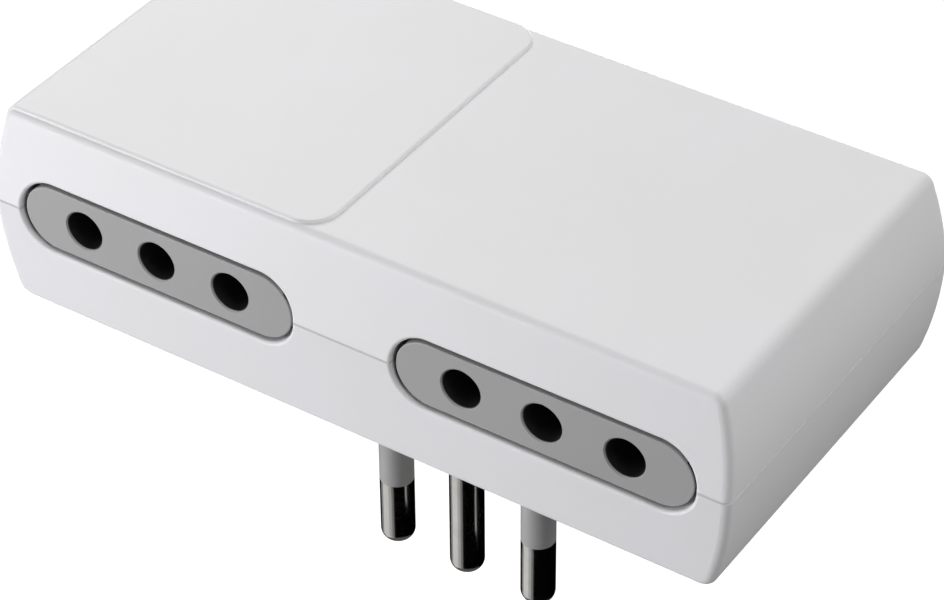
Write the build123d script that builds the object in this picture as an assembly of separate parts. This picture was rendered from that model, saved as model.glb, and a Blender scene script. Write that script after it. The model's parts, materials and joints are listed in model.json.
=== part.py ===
from build123d import *

import os

# Multi socket adapter: a three-pin plug below, two in-line outlets in each long side.
# Millimetres. The origin is the centre of the plug's seating face, +Z points away from the wall,
# +X runs along the row of pins, and -Y is the front.

# Plug and outlet pattern
PIN_PITCH = 9.5
PIN_DIAMETER = 4.0
PIN_LENGTH = 19.0
PIN_TIP_RADIUS = 1.4
SLEEVE_LENGTH = 10.0
SLEEVE_WALL = 0.5
HOLE_CLEARANCE = 0.25

# Housing
BODY_LENGTH = 90.2
BODY_DEPTH = 45.2
UPPER_HEIGHT = 11.5
LOWER_HEIGHT = 12.4
UPPER_DRAFT = 1.35
LOWER_DRAFT = 0.6
END_CROWN = 2.0
TOP_END_RADIUS = 1.5
BOTTOM_END_RADIUS = 1.8
EDGE_RADIUS = 0.9
SEAM_CHAMFER = 0.12
WALL = 2.0
LIP_WIDTH = 0.9
LIP_HEIGHT = 1.2

# Raised panel on the left of the top
PANEL_EDGE_OFFSET = 3.3
PANEL_MARGIN = 0.45
PANEL_RISE = 0.35
PANEL_CORNER_RADIUS = 3.5
PANEL_EDGE_RADIUS = 0.3

# Plug boss under the housing
BOSS_HEIGHT = 16.6
BOSS_WALL = 1.8
BOSS_FLOOR = 3.0
BOSS_EDGE_RADIUS = 2.8
BOSS_ROOM = 0.2

# Outlet faces
OPENING_LENGTH = 35.4
OPENING_HEIGHT = 8.6
OPENING_EDGE_RADIUS = 0.35
FACE_GAP = 0.4
FACE_RECESS = 0.55
FACE_EDGE_RADIUS = 0.15
FLANGE_WIDTH = 1.3
FLANGE_THICKNESS = 1.5
FLANGE_END_GAP = 0.4
COLLAR_WALL = 1.05
COLLAR_LENGTH = 1.9
HOLE_CHAMFER = 0.2

# Ribs inside the shells
RIB_THICKNESS = 1.3
RIB_GAP = 0.1
SADDLE_DISTANCE = 11.0
BARRIER_THICKNESS = 0.9
BARRIER_HEIGHT = 5.6

# Pins above the seating face
SHANK_STEP = 0.3
PIN_COLLAR_WIDTH = 0.9
PIN_COLLAR_THICKNESS = 1.5
RIVET_DIAMETER = 2.6
RIVET_HEAD_DIAMETER = 4.2
RIVET_HEAD_HEIGHT = 0.9
RIVET_ROOM = 0.7
EARTH_POST_DIAMETER = 3.2
EARTH_SLOT_DEPTH = 2.5

# Bus bars and contacts
STRIP_THICKNESS = 0.8
BAR_HEIGHT = 5.0
BAR_END_RADIUS = 1.0
TAB_WIDTH = 4.0
LEG_WIDTH = 5.0
FOOT_REACH = 2.8
BEND_RADIUS = 0.5
CONTACT_WALL = 0.6
CONTACT_LENGTH = 9.5
CONTACT_SLIT = 1.6
CONTACT_GAP = 0.5
NECK_WIDTH = 4.2

# Screws and their posts
SCREW_OFFSET = 13.0
SCREW_DIAMETER = 2.8
SCREW_LENGTH = 12.0
SCREW_HEAD_DIAMETER = 5.2
SCREW_HEAD_HEIGHT = 1.8
SCREW_RECESS_LENGTH = 2.8
SCREW_RECESS_WIDTH = 0.7
SCREW_RECESS_DEPTH = 1.0
POST_WALL = 1.6
COUNTERBORE_DEPTH = 5.5
PILOT_SPARE = 1.0

# Clearances, each on one side
FIT_GAP = 0.1
TIGHT_GAP = 0.05

# Diameters and places that follow from the sizes
HOLE_DIAMETER = PIN_DIAMETER + 2 * HOLE_CLEARANCE
COLLAR_DIAMETER = HOLE_DIAMETER + 2 * COLLAR_WALL
CONTACT_BORE = PIN_DIAMETER + 2 * TIGHT_GAP
SHANK_DIAMETER = PIN_DIAMETER + 2 * SHANK_STEP
PIN_COLLAR_DIAMETER = SHANK_DIAMETER + 2 * PIN_COLLAR_WIDTH
CAVITY_LENGTH = BODY_LENGTH - 2 * WALL
CAVITY_DEPTH = BODY_DEPTH - 2 * max(UPPER_DRAFT, LOWER_DRAFT) - 2 * WALL
OUTLET_SPACING = CAVITY_LENGTH - 2 * FLANGE_END_GAP - 2 * FLANGE_WIDTH - OPENING_LENGTH
LANE_PITCH = RIVET_HEAD_DIAMETER / 2 + RIVET_ROOM + STRIP_THICKNESS / 2
HOLLOW_DEPTH = 2 * max(LANE_PITCH + STRIP_THICKNESS / 2, PIN_COLLAR_DIAMETER / 2) + 2 * BOSS_ROOM
HOLLOW_LENGTH = 2 * PIN_PITCH + LEG_WIDTH + HOLLOW_DEPTH
SOCKET_HEIGHT = BOSS_HEIGHT + LOWER_HEIGHT
FLOOR_HEIGHT = BOSS_HEIGHT + WALL
FLANGE_BACK = CAVITY_DEPTH / 2 - FLANGE_THICKNESS
COLLAR_BACK = FLANGE_BACK - COLLAR_LENGTH
CONTACT_FRONT = COLLAR_BACK - CONTACT_GAP
CONTACT_BACK = CONTACT_FRONT - CONTACT_LENGTH
NECK_BOTTOM = SOCKET_HEIGHT - CONTACT_BORE / 2 - CONTACT_WALL
PIN_COLLAR_TOP = BOSS_FLOOR + PIN_COLLAR_THICKNESS
SCREW_SEAT = BOSS_HEIGHT + COUNTERBORE_DEPTH

OUTLET_CENTRES = {"left": -OUTLET_SPACING / 2, "right": OUTLET_SPACING / 2}
POLE_OFFSETS = {"line": -PIN_PITCH, "earth": 0, "neutral": PIN_PITCH}
POLE_LANES = {"line": -LANE_PITCH, "earth": 0, "neutral": LANE_PITCH}
SOCKET_AXES = [centre + offset for centre in OUTLET_CENTRES.values() for offset in POLE_OFFSETS.values()]


def crowned_outline(length, height, corner_radius):
    """Half of the housing seen from the front: a flat face and two ends that bow outwards."""
    half = length / 2
    flat_half = half - END_CROWN
    base = Line((-half, 0), (half, 0))
    right_end = TangentArc((half, 0), (flat_half, height), tangent=(0, 1))
    face = Line((flat_half, height), (-flat_half, height))
    left_end = TangentArc((-half, 0), (-flat_half, height), tangent=(0, 1))
    outline = make_face(Curve() + [base, right_end, face, left_end])
    return fillet(outline.vertices().group_by(Axis.Y)[-1], corner_radius)


def long_sides(block):
    """The front and rear faces of a half housing."""
    return block.faces().filter_by(lambda face: abs(face.normal_at().Y) > 0.9).sort_by(SortBy.AREA)[-2:]


def housing_block(height, draft, corner_radius, rise=0):
    """Solid half housing standing on its parting plane, with drafted long sides and rounded edges.

    The draft is what each long side leans in over the height; rise lifts the face at the same slope.
    """
    full_height = height + rise
    outline = Plane.XZ * crowned_outline(BODY_LENGTH, full_height, corner_radius)
    base_half = BODY_DEPTH / 2
    face_half = base_half - draft * full_height / height
    section = Plane.YZ * Polygon(
        (-base_half, 0),
        (base_half, 0),
        (face_half, full_height),
        (-face_half, full_height),
        align=None,
    )
    block = extrude(outline, BODY_DEPTH, both=True) & extrude(section, BODY_LENGTH, both=True)
    rims = [edge for side in long_sides(block) for edge in side.edges() if edge.center().Z > SEAM_CHAMFER]
    block = fillet(rims, EDGE_RADIUS)
    return chamfer(block.faces().sort_by(Axis.Z)[0].edges(), SEAM_CHAMFER)


def cavity_block(height):
    """Hollow of a half housing, with upright long walls for the outlet faces to seat on."""
    outline = Plane.XZ * crowned_outline(CAVITY_LENGTH, height, WALL / 2)
    return extrude(outline, CAVITY_DEPTH / 2, both=True)


def notched_ribs(height, distance, notch_diameter):
    """A pair of long ribs, front and rear, with a half-round seat on each socket axis."""
    outline = Pos(0, RIB_GAP) * Rectangle(CAVITY_LENGTH, height, align=(Align.CENTER, Align.MIN))
    for axis in SOCKET_AXES:
        outline -= Pos(axis, 0) * Circle(notch_diameter / 2 + FIT_GAP)
    rib = extrude(Plane.XZ * outline, RIB_THICKNESS / 2, both=True)
    return Pos(0, -distance) * rib + Pos(0, distance) * rib


def inner_ribs(height):
    """Ribs behind the flanges of the outlet faces, and saddles that hold the contacts."""
    keeper_distance = FLANGE_BACK - FIT_GAP - RIB_THICKNESS / 2
    keepers = notched_ribs(height, keeper_distance, COLLAR_DIAMETER)
    saddles = notched_ribs(height, SADDLE_DISTANCE, CONTACT_BORE + 2 * CONTACT_WALL)
    return keepers + saddles


def outlet_openings():
    """Stadium holes through both long walls, centred on the parting plane."""
    opening = SlotOverall(OPENING_LENGTH, OPENING_HEIGHT)
    slots = Sketch() + [Pos(centre, 0) * opening for centre in OUTLET_CENTRES.values()]
    through = extrude(Plane.XZ * slots, BODY_DEPTH, both=True)
    middle = Box(BODY_LENGTH, CAVITY_DEPTH, OPENING_HEIGHT)
    return through - middle


def with_openings(half):
    """A half housing with its outlet openings cut and their outer edges rounded."""
    half -= outlet_openings()
    reach = OUTLET_SPACING / 2 + OPENING_LENGTH / 2 + OPENING_EDGE_RADIUS
    height = OPENING_HEIGHT / 2 + OPENING_EDGE_RADIUS
    edges = [edge for side in long_sides(half) for edge in side.edges()]
    rims = [
        edge for edge in edges
        if abs(edge.center().X) < reach and SEAM_CHAMFER < abs(edge.center().Z) - TIGHT_GAP < height
    ]
    return fillet(rims, OPENING_EDGE_RADIUS)


def lip_ring(gap, height):
    """Tongue around the hollow at the parting plane; gap widens it for the groove that takes it."""
    reach = 2 * (LIP_WIDTH + gap)
    ring = Rectangle(CAVITY_LENGTH + reach, CAVITY_DEPTH + reach)
    ring -= Rectangle(CAVITY_LENGTH, CAVITY_DEPTH)
    return extrude(ring, height)


def screw_places():
    """The two screw axes, in front of and behind the plug."""
    return GridLocations(0, 2 * SCREW_OFFSET, 1, 2)


def make_upper_shell():
    """Upper half of the housing with its raised panel, ribs, groove and screw posts."""
    panel_depth = BODY_DEPTH - 2 * UPPER_DRAFT - 2 * PANEL_MARGIN
    panel = extrude(
        RectangleRounded(2 * BODY_LENGTH, panel_depth, PANEL_CORNER_RADIUS), UPPER_HEIGHT + PANEL_RISE
    )
    panel = fillet(panel.edges().group_by(Axis.Z)[-1], PANEL_EDGE_RADIUS)
    raised = housing_block(UPPER_HEIGHT, UPPER_DRAFT, TOP_END_RADIUS, PANEL_RISE)
    raised &= Pos(-PANEL_EDGE_OFFSET - BODY_LENGTH, 0) * panel
    cavity = cavity_block(UPPER_HEIGHT - WALL)

    post_height = UPPER_HEIGHT - WALL
    post = Pos(0, 0, RIB_GAP) * extrude(Circle(SCREW_DIAMETER / 2 + POST_WALL), post_height)
    pilot_depth = SCREW_SEAT + SCREW_LENGTH + PILOT_SPARE - SOCKET_HEIGHT
    pilot = extrude(Circle(SCREW_DIAMETER / 2 + TIGHT_GAP), pilot_depth)
    posts = Part() + [place * post for place in screw_places()]
    pilots = Part() + [place * pilot for place in screw_places()]

    shell = with_openings(housing_block(UPPER_HEIGHT, UPPER_DRAFT, TOP_END_RADIUS) + raised - cavity)
    shell += (inner_ribs(UPPER_HEIGHT) + posts) & cavity
    shell -= lip_ring(FIT_GAP, LIP_HEIGHT + FIT_GAP)
    shell -= pilots
    return Pos(0, 0, SOCKET_HEIGHT) * shell


def make_lower_half():
    """Lower half of the housing without the plug boss, on the parting plane."""
    cavity = cavity_block(LOWER_HEIGHT - WALL)
    post_radius = SCREW_HEAD_DIAMETER / 2 + FIT_GAP + POST_WALL
    post = Pos(0, 0, RIB_GAP) * extrude(Circle(post_radius), LOWER_HEIGHT)
    posts = Part() + [place * post for place in screw_places()]

    barrier_top = LOWER_HEIGHT - WALL - BARRIER_HEIGHT
    barrier_box = Box(
        CAVITY_LENGTH - 2 * RIB_THICKNESS,
        BARRIER_THICKNESS,
        LOWER_HEIGHT,
        align=(Align.CENTER, Align.CENTER, Align.MIN),
    )
    barriers = Part() + [
        Pos(0, lane * LANE_PITCH, barrier_top) * barrier_box for lane in (-1.5, -0.5, 0.5, 1.5)
    ]
    half = with_openings(housing_block(LOWER_HEIGHT, LOWER_DRAFT, BOTTOM_END_RADIUS) - cavity)
    half += (inner_ribs(LOWER_HEIGHT) + posts + barriers) & cavity
    return mirror(half, Plane.XY) + (lip_ring(0, LIP_HEIGHT) - outlet_openings())


def make_lower_shell():
    """Lower half of the housing with the plug boss, pin holes and counterbored screw posts."""
    boss_outline = SlotOverall(HOLLOW_LENGTH + 2 * BOSS_WALL, HOLLOW_DEPTH + 2 * BOSS_WALL)
    boss = extrude(boss_outline, BOSS_HEIGHT + WALL / 2)
    boss = fillet(boss.edges().group_by(Axis.Z)[0], BOSS_EDGE_RADIUS)
    hollow_outline = SlotOverall(HOLLOW_LENGTH, HOLLOW_DEPTH)
    hollow = Pos(0, 0, BOSS_FLOOR) * extrude(hollow_outline, SOCKET_HEIGHT - BOSS_FLOOR)

    pin_hole = extrude(Circle(SHANK_DIAMETER / 2 + TIGHT_GAP), BOSS_FLOOR)
    pin_holes = Part() + [Pos(offset, 0) * pin_hole for offset in POLE_OFFSETS.values()]
    counterbore = extrude(Circle(SCREW_HEAD_DIAMETER / 2 + FIT_GAP), COUNTERBORE_DEPTH)
    clearance_hole = extrude(Circle(SCREW_DIAMETER / 2 + FIT_GAP), LOWER_HEIGHT)
    screw_hole = Pos(0, 0, BOSS_HEIGHT) * (counterbore + clearance_hole)
    screw_holes = Part() + [place * screw_hole for place in screw_places()]

    shell = Pos(0, 0, SOCKET_HEIGHT) * make_lower_half()
    return shell + boss - hollow - pin_holes - screw_holes


def make_socket_face():
    """Grey outlet face for the front wall: recessed plate, flange behind the wall, and hole collars."""
    face_distance = BODY_DEPTH / 2 - FACE_RECESS
    wall_distance = CAVITY_DEPTH / 2
    plate_outline = SlotOverall(OPENING_LENGTH - 2 * FACE_GAP, OPENING_HEIGHT - 2 * FACE_GAP)
    plate = extrude(Plane.XZ.offset(wall_distance) * plate_outline, face_distance - wall_distance)
    plate = fillet(plate.edges().group_by(Axis.Y)[0], FACE_EDGE_RADIUS)
    flange_outline = SlotOverall(OPENING_LENGTH + 2 * FLANGE_WIDTH, OPENING_HEIGHT + 2 * FLANGE_WIDTH)
    flange = extrude(Plane.XZ.offset(FLANGE_BACK) * flange_outline, FLANGE_THICKNESS)

    holes = Sketch() + [Pos(offset, 0) * Circle(HOLE_DIAMETER / 2) for offset in POLE_OFFSETS.values()]
    rims = Sketch() + [Pos(offset, 0) * Circle(COLLAR_DIAMETER / 2) for offset in POLE_OFFSETS.values()]
    collars = extrude(Plane.XZ.offset(COLLAR_BACK) * rims, COLLAR_LENGTH)
    bores = extrude(Plane.XZ * holes, BODY_DEPTH)
    face = plate + flange + collars - bores

    mouths = face.edges().filter_by(lambda edge: edge.geom_type == GeomType.CIRCLE)
    mouths = mouths.filter_by(lambda edge: abs(edge.radius - HOLE_DIAMETER / 2) < TIGHT_GAP)
    return chamfer(mouths.group_by(Axis.Y)[0], HOLE_CHAMFER)


def turned(points):
    """A turned piece: its half section, radius then height, spun about Z."""
    section = Plane.XZ * Polygon(*points, align=None)
    return revolve(section, Axis.Z)


def rounded_tip(pin):
    """The pin with its lower end rounded for easy entry."""
    return fillet(pin.edges().group_by(Axis.Z)[0], PIN_TIP_RADIUS)


def make_live_pin():
    """Sleeved pin: bare tip, neck under the sleeve, shank in the boss floor, collar and rivet."""
    bare = PIN_DIAMETER / 2
    neck = bare - SLEEVE_WALL
    shank = SHANK_DIAMETER / 2
    collar = PIN_COLLAR_DIAMETER / 2
    rivet = RIVET_DIAMETER / 2
    rivet_head = RIVET_HEAD_DIAMETER / 2
    head_base = PIN_COLLAR_TOP + STRIP_THICKNESS
    head_top = head_base + RIVET_HEAD_HEIGHT
    pin = turned([
        (0, -PIN_LENGTH),
        (bare, -PIN_LENGTH),
        (bare, -SLEEVE_LENGTH),
        (neck, -SLEEVE_LENGTH),
        (neck, 0),
        (shank, 0),
        (shank, BOSS_FLOOR),
        (collar, BOSS_FLOOR),
        (collar, PIN_COLLAR_TOP),
        (rivet, PIN_COLLAR_TOP),
        (rivet, head_base),
        (rivet_head, head_base),
        (rivet, head_top),
        (0, head_top),
    ])
    return rounded_tip(pin)


def make_earth_pin():
    """Bare pin with a post that rises through the boss to the earth bus bar and grips it in a slot."""
    bare = PIN_DIAMETER / 2
    shank = SHANK_DIAMETER / 2
    collar = PIN_COLLAR_DIAMETER / 2
    post = EARTH_POST_DIAMETER / 2
    post_top = FLOOR_HEIGHT + EARTH_SLOT_DEPTH
    pin = turned([
        (0, -PIN_LENGTH),
        (bare, -PIN_LENGTH),
        (bare, 0),
        (shank, 0),
        (shank, BOSS_FLOOR),
        (collar, BOSS_FLOOR),
        (collar, PIN_COLLAR_TOP),
        (post, PIN_COLLAR_TOP),
        (post, post_top),
        (0, post_top),
    ])
    slot = Box(
        EARTH_POST_DIAMETER,
        STRIP_THICKNESS + 2 * TIGHT_GAP,
        2 * EARTH_SLOT_DEPTH,
    )
    return rounded_tip(pin) - Pos(0, 0, post_top) * slot


def make_sleeve():
    """Insulating sleeve that fills the neck of a live pin, flush with its bare tip."""
    outer = Circle(PIN_DIAMETER / 2)
    core = Circle(PIN_DIAMETER / 2 - SLEEVE_WALL)
    return Pos(0, 0, -SLEEVE_LENGTH) * extrude(outer - core, SLEEVE_LENGTH)


def make_contact():
    """Double-ended spring contact: a split tube for the front pin, one for the rear, and a neck below."""
    bore = CONTACT_BORE / 2
    ring = Circle(bore + CONTACT_WALL) - Circle(bore)
    ring -= Rectangle(CONTACT_SLIT, CONTACT_BORE, align=(Align.CENTER, Align.MIN))
    tube = extrude(Plane.XZ.offset(CONTACT_BACK) * ring, CONTACT_LENGTH)
    neck = Box(
        NECK_WIDTH,
        2 * CONTACT_BACK + CONTACT_WALL,
        CONTACT_WALL,
        align=(Align.CENTER, Align.CENTER, Align.MAX),
    )
    return tube + mirror(tube, Plane.XZ) + Pos(0, 0, -bore) * neck


def make_bus_bar(pole):
    """Brass strip on edge along its lane, with a tab up to each of its two contacts."""
    places = [centre + POLE_OFFSETS[pole] for centre in OUTLET_CENTRES.values()]
    strip = Pos(sum(places) / 2, FLOOR_HEIGHT) * Rectangle(
        OUTLET_SPACING + TAB_WIDTH, BAR_HEIGHT, align=(Align.CENTER, Align.MIN)
    )
    strip = fillet(strip.vertices().group_by(Axis.Y)[0], BAR_END_RADIUS)
    for place in places:
        tab_height = NECK_BOTTOM - FLOOR_HEIGHT - BAR_HEIGHT / 2
        tab = Rectangle(TAB_WIDTH, tab_height, align=(Align.CENTER, Align.MAX))
        strip += Pos(place, NECK_BOTTOM) * tab
    bar = extrude(Plane.XZ * strip, STRIP_THICKNESS / 2, both=True)
    return Pos(0, POLE_LANES[pole]) * bar


def make_leg(side):
    """Leg bent from a live bus bar down into the boss, with a foot that the pin is riveted through."""
    half = STRIP_THICKNESS / 2
    back = LANE_PITCH + half
    front = LANE_PITCH - half
    foot_bottom = PIN_COLLAR_TOP
    foot_top = PIN_COLLAR_TOP + STRIP_THICKNESS
    leg_top = FLOOR_HEIGHT + BAR_HEIGHT / 2
    outline = Polygon(
        (back, leg_top),
        (back, foot_bottom),
        (-FOOT_REACH, foot_bottom),
        (-FOOT_REACH, foot_top),
        (front, foot_top),
        (front, leg_top),
        align=None,
    )
    outer_bend = outline.vertices().sort_by_distance((back, foot_bottom))[0]
    outline = fillet(outer_bend, BEND_RADIUS + STRIP_THICKNESS)
    inner_bend = outline.vertices().sort_by_distance((front, foot_top))[0]
    outline = fillet(inner_bend, BEND_RADIUS)
    leg = extrude(Plane.YZ * outline, LEG_WIDTH / 2, both=True)
    rivet_hole = extrude(Circle(RIVET_DIAMETER / 2 + TIGHT_GAP), FLOOR_HEIGHT)
    leg -= rivet_hole
    return leg if side > 0 else Rot(0, 0, 180) * leg


def make_live_bus_bar(pole):
    """Bus bar of a live pole: the strip in its lane and the leg down to its pin."""
    leg = make_leg(POLE_LANES[pole])
    return make_bus_bar(pole) + Pos(POLE_OFFSETS[pole], 0) * leg


def make_screw():
    """Cross-recessed screw, head down, on the axis of its post."""
    shank = extrude(Circle(SCREW_DIAMETER / 2), SCREW_LENGTH)
    head = Pos(0, 0, -SCREW_HEAD_HEIGHT) * extrude(Circle(SCREW_HEAD_DIAMETER / 2), SCREW_HEAD_HEIGHT)
    head = fillet(head.edges().group_by(Axis.Z)[0], SCREW_HEAD_HEIGHT / 3)
    bar = Box(
        SCREW_RECESS_LENGTH,
        SCREW_RECESS_WIDTH,
        2 * SCREW_RECESS_DEPTH,
    )
    recess = Pos(0, 0, -SCREW_HEAD_HEIGHT) * (bar + Rot(0, 0, 90) * bar)
    return Pos(0, 0, SCREW_SEAT) * (head + shank - recess)


def make_pieces():
    """Every piece of the adapter in its place, by name."""
    pieces = {
        "upper_shell": make_upper_shell(),
        "lower_shell": make_lower_shell(),
        "line_pin": Pos(POLE_OFFSETS["line"], 0) * make_live_pin(),
        "earth_pin": make_earth_pin(),
        "neutral_pin": Pos(POLE_OFFSETS["neutral"], 0) * make_live_pin(),
        "line_pin_sleeve": Pos(POLE_OFFSETS["line"], 0) * make_sleeve(),
        "neutral_pin_sleeve": Pos(POLE_OFFSETS["neutral"], 0) * make_sleeve(),
        "line_bus_bar": make_live_bus_bar("line"),
        "earth_bus_bar": make_bus_bar("earth"),
        "neutral_bus_bar": make_live_bus_bar("neutral"),
    }
    face = make_socket_face()
    contact = make_contact()
    for side, centre in OUTLET_CENTRES.items():
        place = Pos(centre, 0, SOCKET_HEIGHT)
        pieces[f"socket_face_front_{side}"] = place * face
        pieces[f"socket_face_rear_{side}"] = place * Rot(0, 0, 180) * face
        for pole, offset in POLE_OFFSETS.items():
            pieces[f"{pole}_contact_{side}"] = place * Pos(offset, 0) * contact
    screw = make_screw()
    pieces["housing_screws"] = Compound(children=[place * screw for place in screw_places()])
    return pieces


os.makedirs("parts", exist_ok=True)
for name, piece in make_pieces().items():
    export_step(piece, f"parts/{name}.step")
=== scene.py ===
import json
import math

import bpy
from mathutils import Matrix, Vector


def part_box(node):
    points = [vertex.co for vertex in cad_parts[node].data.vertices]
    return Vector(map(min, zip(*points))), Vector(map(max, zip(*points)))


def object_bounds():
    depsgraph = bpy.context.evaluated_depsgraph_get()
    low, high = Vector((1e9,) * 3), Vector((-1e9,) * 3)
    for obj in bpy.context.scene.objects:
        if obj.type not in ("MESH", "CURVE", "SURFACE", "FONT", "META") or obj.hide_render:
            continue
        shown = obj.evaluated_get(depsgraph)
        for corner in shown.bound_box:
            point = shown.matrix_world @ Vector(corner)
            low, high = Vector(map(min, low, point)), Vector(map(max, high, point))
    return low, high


# Looks of the multi socket adapter: plastics, metals, studio and camera.
# Metres, in the frame of the solids: +X along the row of pins, -Y towards the front, +Z away from the wall.

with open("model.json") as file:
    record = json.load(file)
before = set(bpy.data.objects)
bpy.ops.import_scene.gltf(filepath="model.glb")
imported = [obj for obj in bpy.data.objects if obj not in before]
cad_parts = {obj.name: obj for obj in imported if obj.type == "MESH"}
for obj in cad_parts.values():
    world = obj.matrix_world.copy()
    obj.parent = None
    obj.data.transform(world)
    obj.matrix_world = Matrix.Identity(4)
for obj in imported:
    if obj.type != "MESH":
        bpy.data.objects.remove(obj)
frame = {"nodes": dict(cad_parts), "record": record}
cad_low, cad_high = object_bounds()

# Camera at the photograph's view: turns in degrees, lens and sensor in millimetres
CAMERA_PLACE = (0.157567, -0.234310, 0.243579)
CAMERA_AZIMUTH = 33.765
CAMERA_ELEVATION = 38.435
CAMERA_ROLL = -0.496
CAMERA_LENS = 128.92
CAMERA_CLIP = 0.01
SENSOR_WIDTH = 36.0

# Studio: the world and the floor light the object less than they show
WORLD_STRENGTH = 0.02
WORLD_SHOWN = 0.87
FLOOR_DROP = 0.45
FLOOR_SIZE = 6.0
FLOOR_ROUGHNESS = 0.9
FLOOR_GLOW = 0.8
LAMP_TARGET = (0.0, 0.0, 0.02)
LAMP_WHITE = (1.0, 1.0, 1.0)
LAMP_COOL = (0.97, 0.965, 1.0)

# Cards below the pins, which show only in reflections: a round one, and a ring of others about it.
# Their round edges have a point at every step, in degrees.
CARD_DROP = 0.12
CARD_STEP = 5
RING_INNER = 0.08
RING_OUTER = 0.30
ROUND_GLOW = 0.12
# Each card of the ring: from and to which degree about the pins, and how bright
RING_CARDS = ((175, 195, 0.3), (195, 240, 0.78), (240, 260, 0.5), (260, 275, 0.22), (275, 535, 0.0))

# Colours, linear
WHITE = (1.0, 1.0, 1.0, 1.0)
BLACK = (0.0, 0.0, 0.0, 1.0)
FLOOR_GREY = (0.75, 0.75, 0.75, 1.0)
HOUSING_WHITE = (0.80, 0.80, 0.815, 1.0)
HOUSING_WARM = (0.785, 0.783, 0.785, 1.0)
# Painted shade: a darker white for the joint of the shells, laid over the lit edges there
HOUSING_SEAM_SHADE = (0.62, 0.62, 0.63, 1.0)
OUTLET_GREY = (0.353, 0.351, 0.347, 1.0)
OUTLET_GREY_DARK = (0.338, 0.336, 0.333, 1.0)
# Painted shade: black for the holes and for the outlet behind its face
OUTLET_HOLE_SHADE = (0.008, 0.008, 0.008, 1.0)
SLEEVE_GREY = (0.39, 0.39, 0.387, 1.0)
SLEEVE_GREY_DARK = (0.345, 0.345, 0.343, 1.0)
NICKEL = (0.68, 0.665, 0.645, 1.0)
NICKEL_DULL = (0.58, 0.565, 0.545, 1.0)
BRASS = (0.72, 0.52, 0.24, 1.0)
BRASS_DULL = (0.58, 0.40, 0.18, 1.0)
ZINC = (0.56, 0.57, 0.58, 1.0)
ZINC_DULL = (0.46, 0.46, 0.47, 1.0)

# Roughness, from the glossiest spots to the dullest
HOUSING_ROUGHNESS = (0.445, 0.475)
OUTLET_ROUGHNESS = (0.45, 0.55)
SLEEVE_ROUGHNESS = (0.32, 0.40)
NICKEL_ROUGHNESS = (0.11, 0.17)
BRASS_ROUGHNESS = (0.25, 0.40)
ZINC_ROUGHNESS = (0.30, 0.45)

# Depth of the grain in the plastics and of the marks on the metals
HOUSING_GRAIN_DEPTH = 0.0000018
OUTLET_GRAIN_DEPTH = 0.000004
SLEEVE_GRAIN_DEPTH = 0.000003
NICKEL_MARK_DEPTH = 0.0000008
BRASS_MARK_DEPTH = 0.000003
ZINC_MARK_DEPTH = 0.000003

# How fast the marks change along X, Y and Z, for rings round the pins and lines along the strips
NICKEL_MARK_RATE = (0.3, 0.3, 6.0)
BRASS_MARK_RATE = (0.4, 3.0, 3.0)
ZINC_MARK_RATE = (1.0, 1.0, 1.0)

# Noise, in cells a metre, and the range that most of it lies in
PLASTIC_CLOUD = 60.0
PLASTIC_GLOSS = 900.0
PLASTIC_GRAIN = 5200.0
METAL_TARNISH = 350.0
METAL_MARKS = 1500.0
NOISE_LOW = 0.3
NOISE_HIGH = 0.7

# Bands of another colour on the plastic, which is painted shade: over the lit edges in the joint of the
# shells, and black inside the holes and behind the outlet's face
SEAM_SHADE_REACH = 0.00013
HOLE_SHADE_REACH = 0.0026
SHADE_FACE_DEPTH = 0.00018
BAND_FADE = 0.00006


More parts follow.
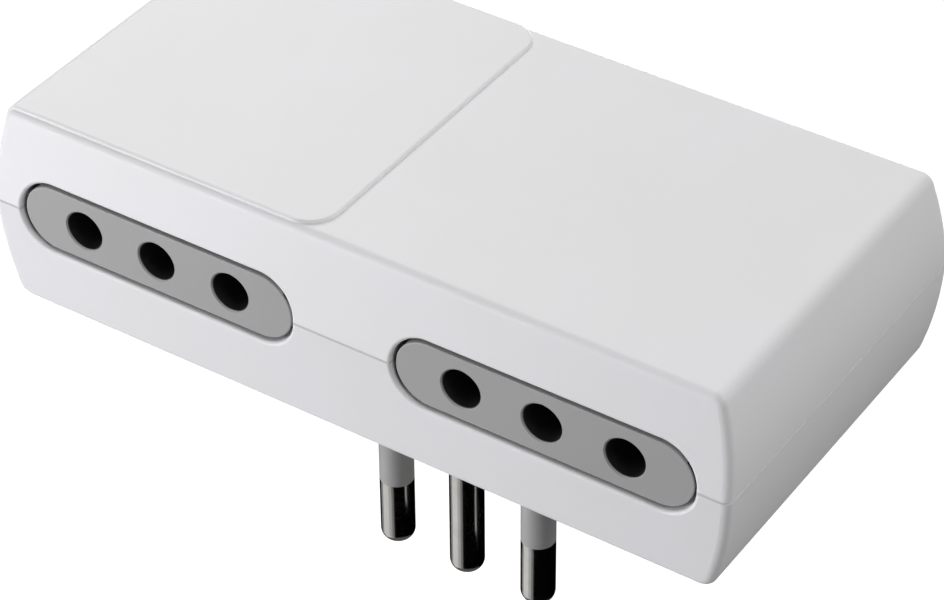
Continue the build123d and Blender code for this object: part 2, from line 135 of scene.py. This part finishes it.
class Finish:
    """A principled material and the few nodes that its finish is made of."""

    def __init__(self, name):
        self.material = bpy.data.materials.new(name)
        self.material.use_nodes = True
        self.tree = self.material.node_tree
        self.shader = self.tree.nodes["Principled BSDF"]
        self.place = self.node("ShaderNodeTexCoord").outputs["Object"]

    def node(self, kind, **settings):
        made = self.tree.nodes.new(kind)
        for key, value in settings.items():
            setattr(made, key, value)
        return made

    def link(self, output, socket):
        self.tree.links.new(output, socket)

    def noise(self, scale, detail=2.0, roughness=0.5, rate=(1.0, 1.0, 1.0)):
        """Noise in the object's own metres."""
        mapping = self.node("ShaderNodeMapping")
        mapping.inputs["Scale"].default_value = rate
        self.link(self.place, mapping.inputs["Vector"])
        noise = self.node("ShaderNodeTexNoise")
        noise.inputs["Scale"].default_value = scale
        noise.inputs["Detail"].default_value = detail
        noise.inputs["Roughness"].default_value = roughness
        self.link(mapping.outputs["Vector"], noise.inputs["Vector"])
        return noise.outputs["Fac"]

    def ramp(self, factor, start, end, low, high):
        """The factor from start to end, stretched over the range from low to high."""
        ramp = self.node("ShaderNodeMapRange")
        ramp.inputs["From Min"].default_value = start
        ramp.inputs["From Max"].default_value = end
        ramp.inputs["To Min"].default_value = low
        ramp.inputs["To Max"].default_value = high
        self.link(factor, ramp.inputs["Value"])
        return ramp.outputs["Result"]

    def spread(self, noise, low, high):
        """The noise, spread over the range from low to high."""
        return self.ramp(noise, NOISE_LOW, NOISE_HIGH, low, high)

    def band(self, axis, middle, reach):
        """1 up to a distance from a plane across one axis, and 0 beyond it."""
        split = self.node("ShaderNodeSeparateXYZ")
        self.link(self.place, split.inputs["Vector"])
        offset = self.node("ShaderNodeMath", operation="SUBTRACT")
        self.link(split.outputs[axis], offset.inputs[0])
        offset.inputs[1].default_value = middle
        distance = self.node("ShaderNodeMath", operation="ABSOLUTE")
        self.link(offset.outputs["Value"], distance.inputs[0])
        return self.ramp(distance.outputs["Value"], reach, reach + BAND_FADE, 1.0, 0.0)

    def overlap(self, bands):
        """1 where all the bands overlap; each has an axis, a middle and how far it reaches."""
        total = self.band(*bands[0])
        for band in bands[1:]:
            smaller = self.node("ShaderNodeMath", operation="MINIMUM")
            self.link(total, smaller.inputs[0])
            self.link(self.band(*band), smaller.inputs[1])
            total = smaller.outputs["Value"]
        return total

    def mixed(self, factor, first, second):
        """The first colour where the factor is 0, the second where it is 1; either may be an output."""
        mix = self.node("ShaderNodeMix", data_type="RGBA")
        for socket, colour in ((mix.inputs["A"], first), (mix.inputs["B"], second)):
            if isinstance(colour, tuple):
                socket.default_value = colour
            else:
                self.link(colour, socket)
        self.link(factor, mix.inputs["Factor"])
        return mix.outputs["Result"]

    def bump(self, height, distance):
        bump = self.node("ShaderNodeBump")
        bump.inputs["Distance"].default_value = distance
        self.link(height, bump.inputs["Height"])
        self.link(bump.outputs["Normal"], self.shader.inputs["Normal"])


def moulded_plastic(name, shades, roughness, grain_depth, dark=None, bands=()):
    """Injection-moulded plastic: faint clouding of colour, uneven gloss and a fine eroded grain.

    Where all the bands overlap, it has the dark colour of painted shade.
    """
    finish = Finish(name)
    cloud = finish.spread(finish.noise(PLASTIC_CLOUD, detail=3.0), 0.0, 1.0)
    colour = finish.mixed(cloud, *shades)
    # Painted shade where all the bands overlap
    if bands:
        colour = finish.mixed(finish.overlap(bands), colour, dark)
    finish.link(colour, finish.shader.inputs["Base Color"])
    gloss = finish.spread(finish.noise(PLASTIC_GLOSS), *roughness)
    finish.link(gloss, finish.shader.inputs["Roughness"])
    finish.bump(finish.noise(PLASTIC_GRAIN), grain_depth)
    return finish.material


def plated_metal(name, shades, roughness, mark_depth, mark_rate):
    """Plated or stamped metal: fine marks from the way it was worked, and slight tarnish."""
    finish = Finish(name)
    tarnish = finish.spread(finish.noise(METAL_TARNISH, detail=3.0), 0.0, 1.0)
    finish.link(finish.mixed(tarnish, *shades), finish.shader.inputs["Base Color"])
    marks = finish.noise(METAL_MARKS, detail=3.0, roughness=0.6, rate=mark_rate)
    finish.link(finish.spread(marks, *roughness), finish.shader.inputs["Roughness"])
    finish.bump(marks, mark_depth)
    finish.shader.inputs["Metallic"].default_value = 1.0
    return finish.material


def housing_plastic(seam_height):
    """White housing, with painted shade in the joint of its two shells, which darkens the lit edges of the
    joint.
    """
    shades = (HOUSING_WHITE, HOUSING_WARM)
    # Band of painted shade along the joint of the shells
    seam_shade = (("Z", seam_height, SEAM_SHADE_REACH),)
    return moulded_plastic(
        "housing_plastic", shades, HOUSING_ROUGHNESS, HOUSING_GRAIN_DEPTH, HOUSING_SEAM_SHADE, seam_shade)


def outlet_plastic(hole_height, face_distance):
    """Grey outlet, with black painted shade behind its face along the row of holes, which darkens the holes
    and the outlet's sides.
    """
    shades = (OUTLET_GREY, OUTLET_GREY_DARK)
    # Bands of black painted shade: along the row of holes, and deeper than the face
    holes = (("Z", hole_height, HOLE_SHADE_REACH), ("Y", 0.0, face_distance - SHADE_FACE_DEPTH))
    return moulded_plastic(
        "outlet_plastic", shades, OUTLET_ROUGHNESS, OUTLET_GRAIN_DEPTH, OUTLET_HOLE_SHADE, holes)


def sleeve_plastic():
    """Grey sleeve of a pin."""
    shades = (SLEEVE_GREY, SLEEVE_GREY_DARK)
    return moulded_plastic("sleeve_plastic", shades, SLEEVE_ROUGHNESS, SLEEVE_GRAIN_DEPTH)


def pin_plating():
    """Bright nickel on a turned pin."""
    shades = (NICKEL, NICKEL_DULL)
    return plated_metal("pin_plating", shades, NICKEL_ROUGHNESS, NICKEL_MARK_DEPTH, NICKEL_MARK_RATE)


def contact_brass():
    """Bare brass of the stamped strips."""
    shades = (BRASS, BRASS_DULL)
    return plated_metal("contact_brass", shades, BRASS_ROUGHNESS, BRASS_MARK_DEPTH, BRASS_MARK_RATE)


def screw_steel():
    """Zinc plate on the screws."""
    shades = (ZINC, ZINC_DULL)
    return plated_metal("screw_steel", shades, ZINC_ROUGHNESS, ZINC_MARK_DEPTH, ZINC_MARK_RATE)


def dress_nodes():
    """Every node takes the finish of its material slot. The shells part at the height of the holes."""
    face_low, face_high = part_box("socket_face_front_left")
    face_distance = -face_low[1]
    hole_height = (face_low[2] + face_high[2]) / 2
    finishes = {
        "housing_plastic": housing_plastic(hole_height),
        "outlet_plastic": outlet_plastic(hole_height, face_distance),
        "sleeve_plastic": sleeve_plastic(),
        "pin_plating": pin_plating(),
        "contact_brass": contact_brass(),
        "screw_steel": screw_steel(),
    }
    for subpart in frame["record"]["subparts"]:
        mesh = frame["nodes"][subpart["node"]].data
        mesh.materials.clear()
        mesh.materials.append(finishes[subpart["material_slot"]])


def camera_or_gloss(tree):
    """Factor that is 1 for rays from the camera and for reflected or refracted ones."""
    light_path = tree.nodes.new("ShaderNodeLightPath")
    total = light_path.outputs["Is Camera Ray"]
    for kind in ("Is Glossy Ray", "Is Transmission Ray"):
        larger = tree.nodes.new("ShaderNodeMath")
        larger.operation = "MAXIMUM"
        tree.links.new(total, larger.inputs[0])
        tree.links.new(light_path.outputs[kind], larger.inputs[1])
        total = larger.outputs["Value"]
    return total


def light_world():
    """Pale background, as bright as the far floor, which adds little to the light of the lamps."""
    world = bpy.data.worlds.new("studio")
    bpy.context.scene.world = world
    world.use_nodes = True
    tree = world.node_tree
    background = tree.nodes["Background"]
    background.inputs["Color"].default_value = WHITE
    strength = tree.nodes.new("ShaderNodeMapRange")
    strength.inputs["To Min"].default_value = WORLD_STRENGTH
    strength.inputs["To Max"].default_value = WORLD_SHOWN
    tree.links.new(camera_or_gloss(tree), strength.inputs["Value"])
    tree.links.new(strength.outputs["Result"], background.inputs["Strength"])


def add_sheet(name, outline):
    """A flat sheet of the studio, which isn't part of the object, with a material of its own."""
    mesh = bpy.data.meshes.new(name)
    mesh.from_pydata(outline, [], [tuple(range(len(outline)))])
    sheet = bpy.data.objects.new(name, mesh)
    bpy.context.scene.collection.objects.link(sheet)
    material = bpy.data.materials.new(name)
    material.use_nodes = True
    mesh.materials.append(material)
    return sheet


def make_floor():
    """Pale floor below the pins that keeps the shadow and fades into the background."""
    height = cad_low[2] - FLOOR_DROP
    half = FLOOR_SIZE / 2
    corners = ((-half, -half), (half, -half), (half, half), (-half, half))
    floor = add_sheet("floor", [(x, y, height) for x, y in corners])
    tree = floor.active_material.node_tree
    shader = tree.nodes["Principled BSDF"]
    shader.inputs["Base Color"].default_value = FLOOR_GREY
    shader.inputs["Roughness"].default_value = FLOOR_ROUGHNESS
    shader.inputs["Emission Color"].default_value = WHITE
    glow = tree.nodes.new("ShaderNodeMath")
    glow.operation = "MULTIPLY"
    glow.inputs[1].default_value = FLOOR_GLOW
    tree.links.new(camera_or_gloss(tree), glow.inputs[0])
    tree.links.new(glow.outputs["Value"], shader.inputs["Emission Strength"])


def arc(radius, turns, height):
    """Points about the Z axis, one for each turn in degrees."""
    angles = [math.radians(turn) for turn in turns]
    return [(radius * math.cos(angle), radius * math.sin(angle), height) for angle in angles]


def add_card(name, outline, glow):
    """A black card, or one that glows, that shows only in reflections."""
    card = add_sheet(name, outline)
    for kind in ("camera", "diffuse", "transmission", "volume_scatter", "shadow"):
        setattr(card, f"visible_{kind}", False)
    shader = card.active_material.node_tree.nodes["Principled BSDF"]
    shader.inputs["Base Color"].default_value = BLACK
    shader.inputs["Specular IOR Level"].default_value = 0.0
    shader.inputs["Emission Color"].default_value = WHITE
    shader.inputs["Emission Strength"].default_value = glow


def make_cards():
    """Cards for the streaks on the metal, pale at the left of the front and dark elsewhere."""
    height = cad_low[2] - CARD_DROP
    add_card("round_card", arc(RING_INNER, range(0, 360, CARD_STEP), height), ROUND_GLOW)
    for start, end, glow in RING_CARDS:
        turns = range(start, end + 1, CARD_STEP)
        outline = arc(RING_INNER, turns, height) + arc(RING_OUTER, reversed(turns), height)
        add_card(f"ring_card_{start}", outline, glow)


def add_light(name, place, size, power, colour=LAMP_WHITE):
    """A square soft box at place, turned to the object."""
    light = bpy.data.lights.new(name, "AREA")
    light.shape = "SQUARE"
    light.size = size
    light.energy = power
    light.color = colour
    lamp = bpy.data.objects.new(name, light)
    bpy.context.scene.collection.objects.link(lamp)
    lamp.location = place
    lamp.rotation_euler = (Vector(LAMP_TARGET) - Vector(place)).to_track_quat("-Z", "Y").to_euler()


def light_studio():
    """Soft boxes at the left of the front, behind the object and at its right."""
    add_light("left_low_box", place=(-0.33, -0.40, -0.04), size=0.3, power=2.25, colour=LAMP_COOL)
    add_light("left_high_box", place=(-0.50, -0.50, 0.50), size=0.4, power=1.3)
    add_light("back_left_box", place=(-0.50, 0.40, 0.50), size=0.4, power=2.6)
    add_light("back_box", place=(0.0, 0.50, 0.65), size=0.5, power=1.05)
    add_light("back_right_box", place=(0.55, 0.32, 0.50), size=0.5, power=1.0)
    add_light("right_box", place=(0.60, -0.10, 0.60), size=0.4, power=2.6)
    add_light("right_low_box", place=(0.80, 0.10, 0.25), size=0.4, power=0.2)
    add_light("back_low_box", place=(-0.15, 0.50, -0.12), size=0.3, power=0.9)


def place_camera():
    """The photograph's view: rolled, tilted and turned, then moved to its place."""
    camera = bpy.data.objects.new("camera", bpy.data.cameras.new("camera"))
    camera.data.sensor_width = SENSOR_WIDTH
    camera.data.lens = CAMERA_LENS
    camera.data.clip_start = CAMERA_CLIP
    turn = Matrix.Rotation(math.radians(CAMERA_AZIMUTH), 4, "Z")
    tilt = Matrix.Rotation(math.radians(90.0 - CAMERA_ELEVATION), 4, "X")
    roll = Matrix.Rotation(math.radians(CAMERA_ROLL), 4, "Z")
    camera.matrix_world = Matrix.Translation(CAMERA_PLACE) @ turn @ tilt @ roll
    bpy.context.scene.collection.objects.link(camera)
    bpy.context.scene.camera = camera


dress_nodes()
light_world()
make_floor()
make_cards()
light_studio()
place_camera()
bpy.context.scene.view_settings.view_transform = "Standard"
